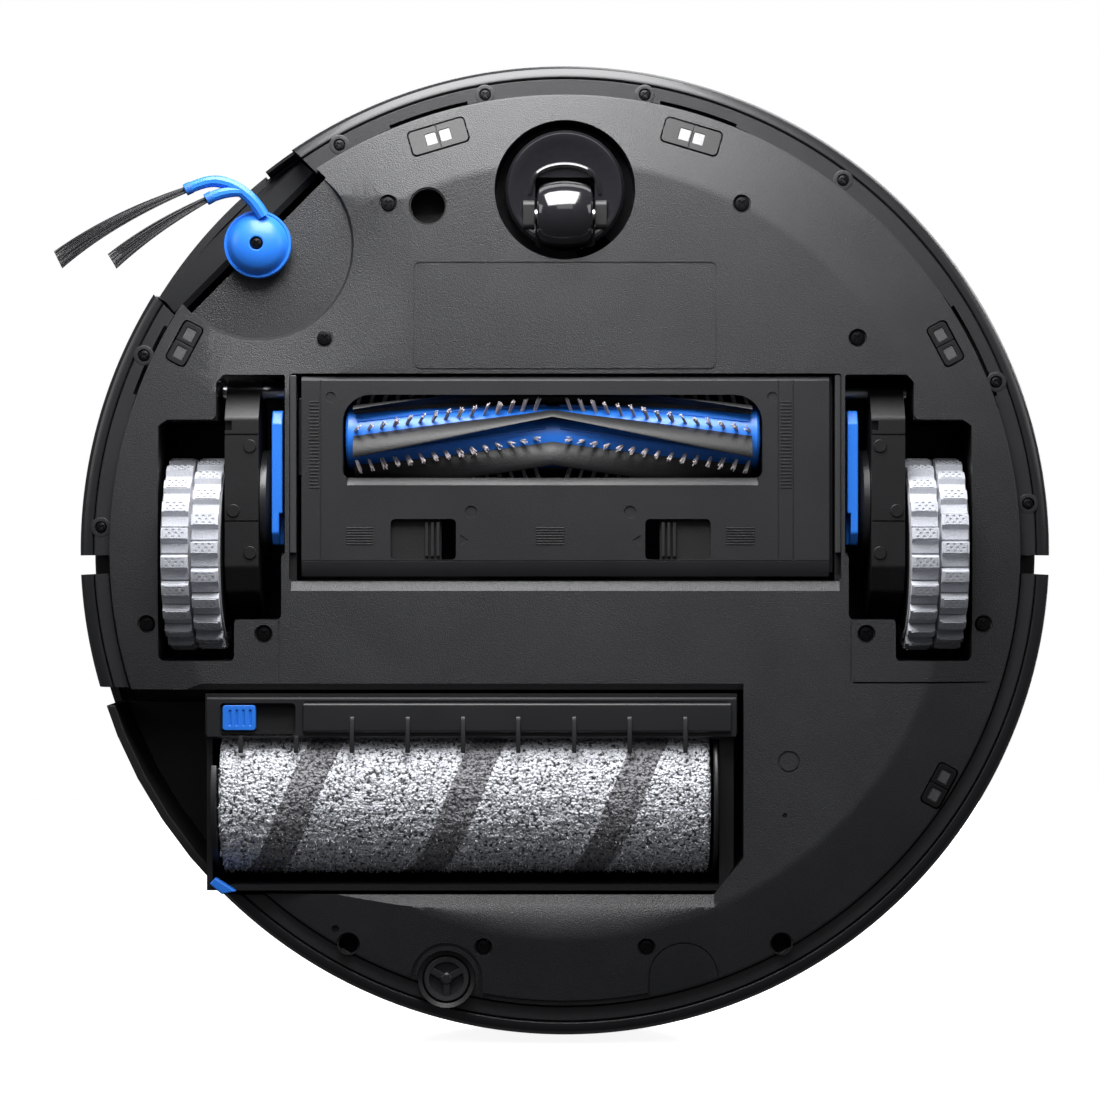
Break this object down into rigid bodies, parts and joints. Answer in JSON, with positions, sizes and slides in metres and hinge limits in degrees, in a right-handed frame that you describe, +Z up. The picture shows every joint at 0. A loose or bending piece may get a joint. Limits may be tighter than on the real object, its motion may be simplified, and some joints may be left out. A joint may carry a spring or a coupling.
{
  "type": "robot vacuum",
  "caption": "Round robot vacuum with a suction brush, side brush, extending roller mop, sprung drive wheels and a swivel caster.",
  "frame": {"origin": "on the floor under the middle of the round body", "axes": "+Z up from the floor, -Y towards the bumper at the front, +X to the side away from the side brush"},
  "size_m": [0.3566, 0.353, 0.098],
  "materials": {
    "shell": "fine-grained charcoal moulding",
    "black": "fine matt black moulding",
    "gloss": "satin to gloss dark grey",
    "blue": "satin blue moulding",
    "rubber": "soft black rubber",
    "tread": "pale grey rubber with stepped lugs",
    "nap": "short white pile with grey spiral bands",
    "lens": "smoky window",
    "steel": "plain steel",
    "clear": "smoky tank plastic",
    "bristle": "dark grey nylon bristle",
    "cell": "green wrap and board"
  },
  "bodies": {
    "chassis": {"bottom_cover": "shell", "side_shell": "shell", "top_cover": "shell", "cliff_lens_front_left": "lens", "cliff_lens_front_right": "lens", "cliff_lens_left": "lens", "cliff_lens_right": "lens", "cliff_lens_rear": "lens", "water_port": "black", "brush_bearing": "black", "brush_gearbox": "black", "left_pivot_pin": "steel", "right_pivot_pin": "steel", "side_brush_motor": "black", "turret_base": "shell", "turret_cap": "gloss", "dust_bin": "clear", "bin_filter": "nap", "battery": "cell", "main_board": "cell", "suction_fan": "black", "clean_water_tank": "clear", "dirty_water_tank": "clear"},
    "lid": {"lid": "gloss"},
    "bumper": {"bumper": "shell", "bumper_window": "gloss"},
    "brush_guard": {"brush_guard": "shell"},
    "guard_latch_left": {"guard_latch_left": "black"},
    "guard_latch_right": {"guard_latch_right": "black"},
    "main_brush": {"brush_core": "blue", "brush_blades": "rubber"},
    "caster_swivel": {"caster_yoke": "gloss", "caster_axle": "steel"},
    "caster_roller": {"caster_wheel": "gloss"},
    "side_brush": {"side_brush_hub": "blue", "side_brush_arm": "blue", "side_brush_tuft_long": "bristle", "side_brush_tuft_short": "bristle", "side_brush_screw": "steel"},
    "mop_carriage": {"mop_carriage": "black", "mop_comb": "shell", "mop_skirt": "black", "mop_tab": "blue"},
    "mop_roller": {"mop_core": "black", "mop_nap": "nap"},
    "mop_release": {"mop_release_button": "blue"},
    "lidar": {"lidar_rotor": "black"},
    "power_button": {"power_button": "gloss"},
    "left_suspension": {"left_drive_arm": "black", "left_motor_cover": "black", "left_hinge_plate": "blue", "left_arm_spring": "steel"},
    "left_wheel": {"left_wheel_hub": "black", "left_tyre": "tread"},
    "right_suspension": {"right_drive_arm": "black", "right_motor_cover": "black", "right_hinge_plate": "blue", "right_arm_spring": "steel"},
    "right_wheel": {"right_wheel_hub": "black", "right_tyre": "tread"}
  },
  "joints": [
    {"name": "bumper_press", "type": "slide", "parent": "chassis", "child": "bumper", "axis": [0, 1, 0], "range_m": [0, 0.004], "stiffness_N_per_m": 400, "springref_m": -0.002},
    {"name": "lid_hinge", "type": "hinge", "parent": "chassis", "child": "lid", "pos_m": [0, 0.033, 0.0846], "axis": [-1, 0, 0], "range_deg": [0, 75]},
    {"name": "left_suspension_pivot", "type": "hinge", "parent": "chassis", "child": "left_suspension", "pos_m": [-0.115, -0.0567, 0.03], "axis": [-1, 0, 0], "range_deg": [0, 14], "stiffness_Nm_per_rad": 1, "springref_deg": 17.19},
    {"name": "left_wheel_spin", "type": "hinge", "parent": "left_suspension", "child": "left_wheel", "pos_m": [-0.1325, 0.0014, 0.0346], "axis": [1, 0, 0], "continuous": true},
    {"name": "right_suspension_pivot", "type": "hinge", "parent": "chassis", "child": "right_suspension", "pos_m": [0.115, -0.0567, 0.03], "axis": [-1, 0, 0], "range_deg": [0, 14], "stiffness_Nm_per_rad": 1, "springref_deg": 17.19},
    {"name": "right_wheel_spin", "type": "hinge", "parent": "right_suspension", "child": "right_wheel", "pos_m": [0.1325, 0.0014, 0.0346], "axis": [1, 0, 0], "continuous": true},
    {"name": "caster_turn", "type": "hinge", "parent": "chassis", "child": "caster_swivel", "pos_m": [0, -0.1281, 0.02], "axis": [0, 0, 1], "continuous": true},
    {"name": "caster_spin", "type": "hinge", "parent": "caster_swivel", "child": "caster_roller", "pos_m": [0, -0.1193, 0.012], "axis": [1, 0, 0], "continuous": true},
    {"name": "side_brush_spin", "type": "hinge", "parent": "chassis", "child": "side_brush", "pos_m": [-0.1091, -0.1085, 0.01], "axis": [0, 0, 1], "continuous": true},
    {"name": "main_brush_spin", "type": "hinge", "parent": "chassis", "child": "main_brush", "pos_m": [-0.00435, -0.0403, 0.021], "axis": [1, 0, 0], "continuous": true},
    {"name": "guard_hinge", "type": "hinge", "parent": "chassis", "child": "brush_guard", "pos_m": [0, -0.0594, 0.0105], "axis": [-1, 0, 0], "range_deg": [0, 85]},
    {"name": "guard_latch_left_slide", "type": "slide", "parent": "brush_guard", "child": "guard_latch_left", "axis": [1, 0, 0], "range_m": [0, 0.004], "stiffness_N_per_m": 200, "springref_m": -0.002},
    {"name": "guard_latch_right_slide", "type": "slide", "parent": "brush_guard", "child": "guard_latch_right", "axis": [-1, 0, 0], "range_m": [0, 0.004], "stiffness_N_per_m": 200, "springref_m": -0.002},
    {"name": "mop_extend", "type": "slide", "parent": "chassis", "child": "mop_carriage", "axis": [-1, 0, 0], "range_m": [0, 0.012]},
    {"name": "mop_roller_spin", "type": "hinge", "parent": "mop_carriage", "child": "mop_roller", "pos_m": [-0.0355, 0.0889, 0.0286], "axis": [1, 0, 0], "continuous": true},
    {"name": "mop_release_slide", "type": "slide", "parent": "mop_carriage", "child": "mop_release", "axis": [1, 0, 0], "range_m": [0, 0.012], "stiffness_N_per_m": 150, "springref_m": -0.002},
    {"name": "lidar_spin", "type": "hinge", "parent": "chassis", "child": "lidar", "pos_m": [0, 0.076, 0.091], "axis": [0, 0, 1], "continuous": true},
    {"name": "power_press", "type": "slide", "parent": "chassis", "child": "power_button", "axis": [0, 0, -1], "range_m": [0, 0.0012], "stiffness_N_per_m": 600, "springref_m": -0.0006}
  ]
}
